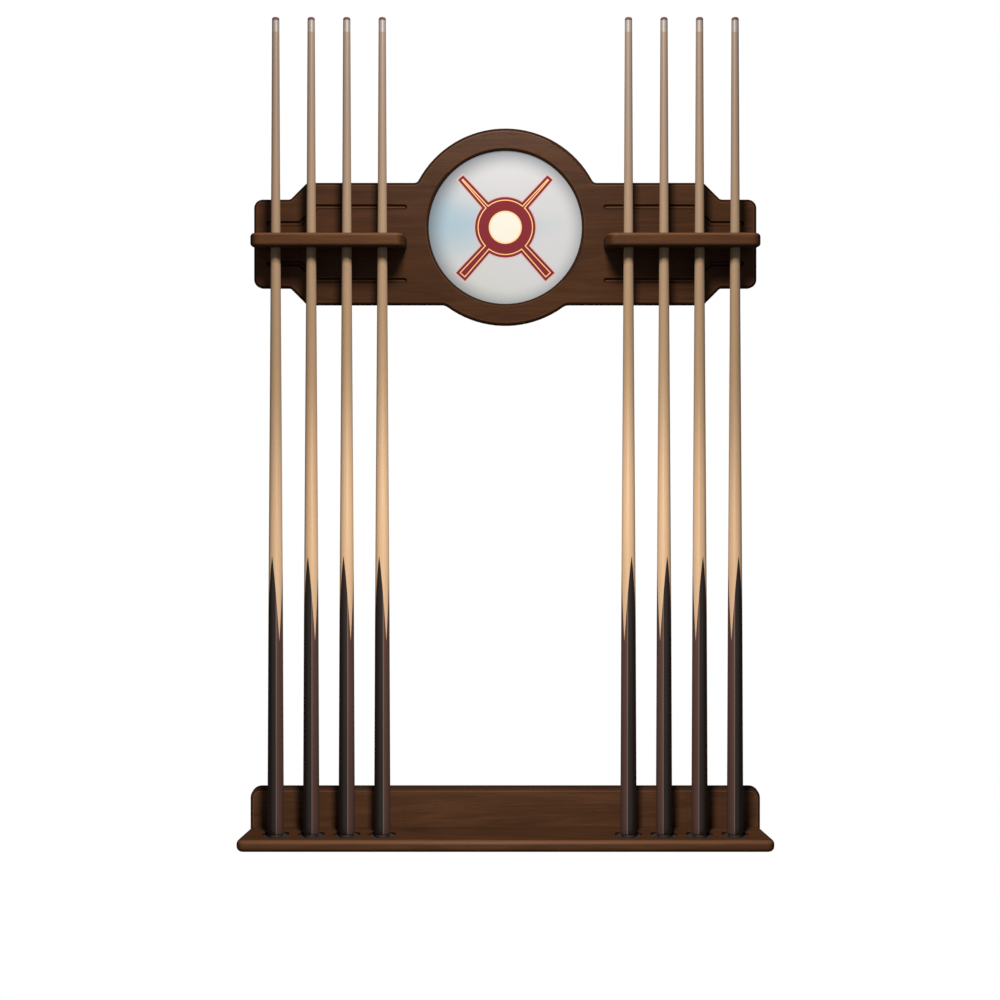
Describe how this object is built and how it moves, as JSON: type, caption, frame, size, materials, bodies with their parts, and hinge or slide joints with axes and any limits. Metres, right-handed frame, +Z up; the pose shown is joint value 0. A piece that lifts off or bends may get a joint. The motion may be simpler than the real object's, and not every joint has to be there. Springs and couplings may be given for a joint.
{
  "type": "wall cue rack",
  "caption": "Wall rack for billiard cues: shouldered upper board with a round mirror and two drilled rails, lower shelf with cups and a back board, cues standing in it.",
  "frame": {"origin": "middle of the upper board's pair of keyhole hangers, on the wall plane", "axes": "+X along the wall to the right of someone facing the rack, +Y into the wall, +Z up"},
  "size_m": [0.9506, 0.107, 1.481],
  "materials": {
    "walnut_stain": "satin lacquer over walnut stain",
    "mirror_glass": "silvered glass",
    "hardboard": "matt",
    "plated_steel": "zinc plated",
    "black_steel": "black oxide",
    "beech": "raw",
    "felt": "matt felt",
    "tip_leather": "pressed, chalk-worn",
    "ferrule_plastic": "satin",
    "maple": "satin lacquer",
    "butt_wood": "gloss lacquer",
    "rubber": "matt"
  },
  "bodies": {
    "rack": {"upper_board": "walnut_stain", "mirror": "mirror_glass", "mirror_backing": "hardboard", "mirror_clips": "plated_steel", "mirror_clip_screws": "plated_steel", "left_cue_rail": "walnut_stain", "right_cue_rail": "walnut_stain", "rail_screws": "black_steel", "rail_dowels": "beech", "upper_hangers": "plated_steel", "upper_hanger_screws": "plated_steel", "lower_back_board": "walnut_stain", "lower_shelf": "walnut_stain", "cup_pads": "felt", "shelf_screws": "black_steel", "shelf_dowels": "beech", "lower_hangers": "plated_steel", "lower_hanger_screws": "plated_steel"},
    "cue_1": {"cue_1_tip": "tip_leather", "cue_1_ferrule": "ferrule_plastic", "cue_1_shaft": "maple", "cue_1_butt": "butt_wood", "cue_1_bumper": "rubber"},
    "cue_2": {"cue_2_tip": "tip_leather", "cue_2_ferrule": "ferrule_plastic", "cue_2_shaft": "maple", "cue_2_butt": "butt_wood", "cue_2_bumper": "rubber"},
    "cue_3": {"cue_3_tip": "tip_leather", "cue_3_ferrule": "ferrule_plastic", "cue_3_shaft": "maple", "cue_3_butt": "butt_wood", "cue_3_bumper": "rubber"},
    "cue_4": {"cue_4_tip": "tip_leather", "cue_4_ferrule": "ferrule_plastic", "cue_4_shaft": "maple", "cue_4_butt": "butt_wood", "cue_4_bumper": "rubber"},
    "cue_5": {"cue_5_tip": "tip_leather", "cue_5_ferrule": "ferrule_plastic", "cue_5_shaft": "maple", "cue_5_butt": "butt_wood", "cue_5_bumper": "rubber"},
    "cue_6": {"cue_6_tip": "tip_leather", "cue_6_ferrule": "ferrule_plastic", "cue_6_shaft": "maple", "cue_6_butt": "butt_wood", "cue_6_bumper": "rubber"},
    "cue_7": {"cue_7_tip": "tip_leather", "cue_7_ferrule": "ferrule_plastic", "cue_7_shaft": "maple", "cue_7_butt": "butt_wood", "cue_7_bumper": "rubber"},
    "cue_8": {"cue_8_tip": "tip_leather", "cue_8_ferrule": "ferrule_plastic", "cue_8_shaft": "maple", "cue_8_butt": "butt_wood", "cue_8_bumper": "rubber"}
  },
  "joints": [
    {"name": "cue_1_lift", "type": "slide", "parent": "rack", "child": "cue_1", "axis": [0, 0, 1], "range_m": [0, 1.1]},
    {"name": "cue_2_lift", "type": "slide", "parent": "rack", "child": "cue_2", "axis": [0, 0, 1], "range_m": [0, 1.1]},
    {"name": "cue_3_lift", "type": "slide", "parent": "rack", "child": "cue_3", "axis": [0, 0, 1], "range_m": [0, 1.1]},
    {"name": "cue_4_lift", "type": "slide", "parent": "rack", "child": "cue_4", "axis": [0, 0, 1], "range_m": [0, 1.1]},
    {"name": "cue_5_lift", "type": "slide", "parent": "rack", "child": "cue_5", "axis": [0, 0, 1], "range_m": [0, 1.1]},
    {"name": "cue_6_lift", "type": "slide", "parent": "rack", "child": "cue_6", "axis": [0, 0, 1], "range_m": [0, 1.1]},
    {"name": "cue_7_lift", "type": "slide", "parent": "rack", "child": "cue_7", "axis": [0, 0, 1], "range_m": [0, 1.1]},
    {"name": "cue_8_lift", "type": "slide", "parent": "rack", "child": "cue_8", "axis": [0, 0, 1], "range_m": [0, 1.1]}
  ]
}
